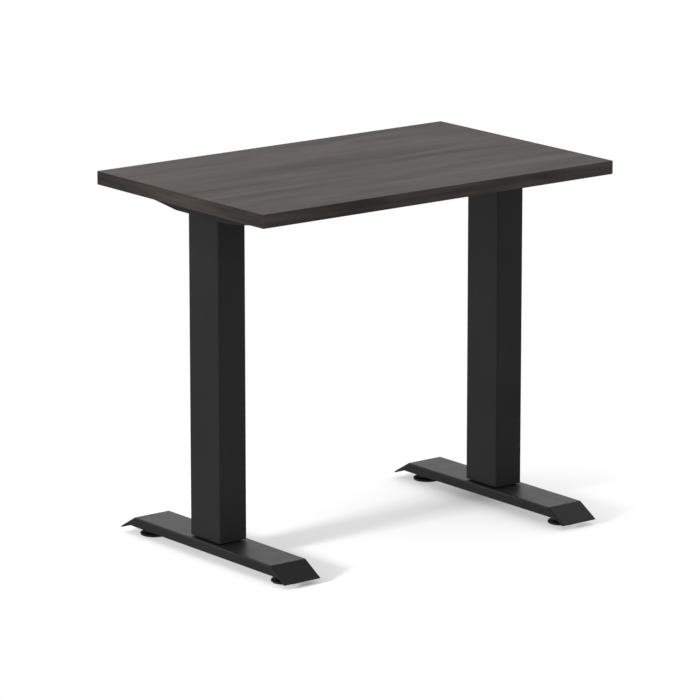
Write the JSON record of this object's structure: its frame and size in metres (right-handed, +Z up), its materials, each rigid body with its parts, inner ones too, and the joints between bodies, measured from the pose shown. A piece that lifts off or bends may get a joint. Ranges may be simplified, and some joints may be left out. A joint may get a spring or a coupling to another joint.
{
  "type": "height adjustable standing desk",
  "caption": "Rectangular work surface on telescopic motor-driven columns with channel feet, raised and lowered by push buttons under the front edge.",
  "frame": {"origin": "on the floor, in the middle of the desk's box", "axes": "+X to the user's right along the board, +Y from the user's side to the back, +Z up"},
  "size_m": [0.8, 0.508, 0.681],
  "materials": {
    "desktop_laminate": "dark wood-grain melamine, matt",
    "edge_band": "dark wood-grain plastic edge band",
    "black_powder_coat": "fine-textured black powder coat",
    "middle_tube_coat": "smooth black powder coat",
    "inner_tube_coat": "smooth black powder coat",
    "zinc_steel": "zinc-plated steel",
    "ground_steel": "ground steel, lightly greased",
    "glide_plastic": "moulded black nylon",
    "slider_plastic": "moulded black acetal",
    "nut_plastic": "natural acetal",
    "cast_aluminium": "die-cast aluminium",
    "motor_steel": "drawn steel can, painted",
    "case_plastic": "moulded black ABS, spark-eroded texture",
    "socket_plastic": "moulded black nylon",
    "circuit_board": "green solder-masked glass-fibre board",
    "button_plastic": "moulded grey silicone-touch plastic"
  },
  "bodies": {
    "left_base": {"left_foot": "black_powder_coat", "left_leveller_nuts": "zinc_steel", "left_foot_screws": "zinc_steel", "left_base_plate": "zinc_steel", "left_inner_tube": "inner_tube_coat", "left_inner_slider": "slider_plastic", "left_lower_nut": "nut_plastic"},
    "left_middle": {"left_middle_tube": "middle_tube_coat", "left_middle_sliders": "slider_plastic", "left_upper_nut": "nut_plastic", "left_screw_bearing": "ground_steel"},
    "left_hollow_screw": {"left_hollow_screw": "ground_steel"},
    "left_drive_screw": {"left_drive_screw": "ground_steel"},
    "right_base": {"right_foot": "black_powder_coat", "right_leveller_nuts": "zinc_steel", "right_foot_screws": "zinc_steel", "right_base_plate": "zinc_steel", "right_inner_tube": "inner_tube_coat", "right_inner_slider": "slider_plastic", "right_lower_nut": "nut_plastic"},
    "right_middle": {"right_middle_tube": "middle_tube_coat", "right_middle_sliders": "slider_plastic", "right_upper_nut": "nut_plastic", "right_screw_bearing": "ground_steel"},
    "right_hollow_screw": {"right_hollow_screw": "ground_steel"},
    "right_drive_screw": {"right_drive_screw": "ground_steel"},
    "top": {"desktop_board": "desktop_laminate", "edge_bands": "edge_band", "desktop_screws": "zinc_steel", "front_rail": "black_powder_coat", "rear_rail": "black_powder_coat", "frame_screws": "zinc_steel", "control_box_case": "case_plastic", "control_box_plate": "black_powder_coat", "control_sockets": "socket_plastic", "control_board": "circuit_board", "handset_case": "case_plastic", "handset_board": "circuit_board", "left_side_bracket": "black_powder_coat", "left_outer_tube": "black_powder_coat", "left_outer_slider": "slider_plastic", "left_column_head": "black_powder_coat", "left_motor": "motor_steel", "left_gearbox": "cast_aluminium", "right_side_bracket": "black_powder_coat", "right_outer_tube": "black_powder_coat", "right_outer_slider": "slider_plastic", "right_column_head": "black_powder_coat", "right_motor": "motor_steel", "right_gearbox": "cast_aluminium"},
    "left_front_glide": {"left_front_pad": "glide_plastic"},
    "left_front_stud": {"left_front_stud": "zinc_steel"},
    "left_rear_glide": {"left_rear_pad": "glide_plastic"},
    "left_rear_stud": {"left_rear_stud": "zinc_steel"},
    "right_front_glide": {"right_front_pad": "glide_plastic"},
    "right_front_stud": {"right_front_stud": "zinc_steel"},
    "right_rear_glide": {"right_rear_pad": "glide_plastic"},
    "right_rear_stud": {"right_rear_stud": "zinc_steel"},
    "button_up": {"button_up": "button_plastic"},
    "button_down": {"button_down": "button_plastic"}
  },
  "joints": [
    {"name": "left_middle_lift", "type": "slide", "parent": "left_base", "child": "left_middle", "axis": [0, 0, 1], "range_m": [0, 0.3]},
    {"name": "top_lift", "type": "slide", "parent": "left_middle", "child": "top", "axis": [0, 0, 1], "range_m": [0, 0.3]},
    {"name": "right_middle_drop", "type": "slide", "parent": "top", "child": "right_middle", "axis": [0, 0, -1], "range_m": [0, 0.3]},
    {"name": "right_base_drop", "type": "slide", "parent": "right_middle", "child": "right_base", "axis": [0, 0, -1], "range_m": [0, 0.3]},
    {"name": "left_drive_screw_spin", "type": "hinge", "parent": "top", "child": "left_drive_screw", "pos_m": [-0.322, -0.004, 0.5], "axis": [0, 0, 1], "range_deg": [0, 10801]},
    {"name": "left_hollow_screw_spin", "type": "hinge", "parent": "left_middle", "child": "left_hollow_screw", "pos_m": [-0.322, -0.004, 0.46], "axis": [0, 0, 1], "range_deg": [0, 10801]},
    {"name": "right_drive_screw_spin", "type": "hinge", "parent": "top", "child": "right_drive_screw", "pos_m": [0.322, -0.004, 0.5], "axis": [0, 0, 1], "range_deg": [0, 10801]},
    {"name": "right_hollow_screw_spin", "type": "hinge", "parent": "right_middle", "child": "right_hollow_screw", "pos_m": [0.322, -0.004, 0.46], "axis": [0, 0, 1], "range_deg": [0, 10801]},
    {"name": "left_front_glide_lower", "type": "slide", "parent": "left_base", "child": "left_front_glide", "axis": [0, 0, -1], "range_m": [0, 0.008]},
    {"name": "left_front_stud_turn", "type": "hinge", "parent": "left_front_glide", "child": "left_front_stud", "pos_m": [-0.322, -0.2035, 0.01], "axis": [0, 0, -1], "range_deg": [0, 2305]},
    {"name": "left_rear_glide_lower", "type": "slide", "parent": "left_base", "child": "left_rear_glide", "axis": [0, 0, -1], "range_m": [0, 0.008]},
    {"name": "left_rear_stud_turn", "type": "hinge", "parent": "left_rear_glide", "child": "left_rear_stud", "pos_m": [-0.322, 0.1955, 0.01], "axis": [0, 0, -1], "range_deg": [0, 2305]},
    {"name": "right_front_glide_lower", "type": "slide", "parent": "right_base", "child": "right_front_glide", "axis": [0, 0, -1], "range_m": [0, 0.008]},
    {"name": "right_front_stud_turn", "type": "hinge", "parent": "right_front_glide", "child": "right_front_stud", "pos_m": [0.322, -0.2035, 0.01], "axis": [0, 0, -1], "range_deg": [0, 2305]},
    {"name": "right_rear_glide_lower", "type": "slide", "parent": "right_base", "child": "right_rear_glide", "axis": [0, 0, -1], "range_m": [0, 0.008]},
    {"name": "right_rear_stud_turn", "type": "hinge", "parent": "right_rear_glide", "child": "right_rear_stud", "pos_m": [0.322, 0.1955, 0.01], "axis": [0, 0, -1], "range_deg": [0, 2305]},
    {"name": "button_up_press", "type": "slide", "parent": "top", "child": "button_up", "axis": [0, 1, 0], "range_m": [0, 0.001], "stiffness_N_per_m": 800, "springref_m": -0.0008},
    {"name": "button_down_press", "type": "slide", "parent": "top", "child": "button_down", "axis": [0, 1, 0], "range_m": [0, 0.001], "stiffness_N_per_m": 800, "springref_m": -0.0008}
  ],
  "couplings": [
    {"joint": "top_lift", "follows": "left_middle_lift", "ratio": 1},
    {"joint": "right_middle_drop", "follows": "left_middle_lift", "ratio": 1},
    {"joint": "right_base_drop", "follows": "left_middle_lift", "ratio": 1},
    {"joint": "left_drive_screw_spin", "follows": "left_middle_lift", "rad_per_m": 628.32},
    {"joint": "left_hollow_screw_spin", "follows": "left_middle_lift", "rad_per_m": 628.32},
    {"joint": "right_drive_screw_spin", "follows": "left_middle_lift", "rad_per_m": 628.32},
    {"joint": "right_hollow_screw_spin", "follows": "left_middle_lift", "rad_per_m": 628.32},
    {"joint": "left_front_stud_turn", "follows": "left_front_glide_lower", "rad_per_m": 5026.5},
    {"joint": "left_rear_stud_turn", "follows": "left_rear_glide_lower", "rad_per_m": 5026.5},
    {"joint": "right_front_stud_turn", "follows": "right_front_glide_lower", "rad_per_m": 5026.5},
    {"joint": "right_rear_stud_turn", "follows": "right_rear_glide_lower", "rad_per_m": 5026.5}
  ]
}
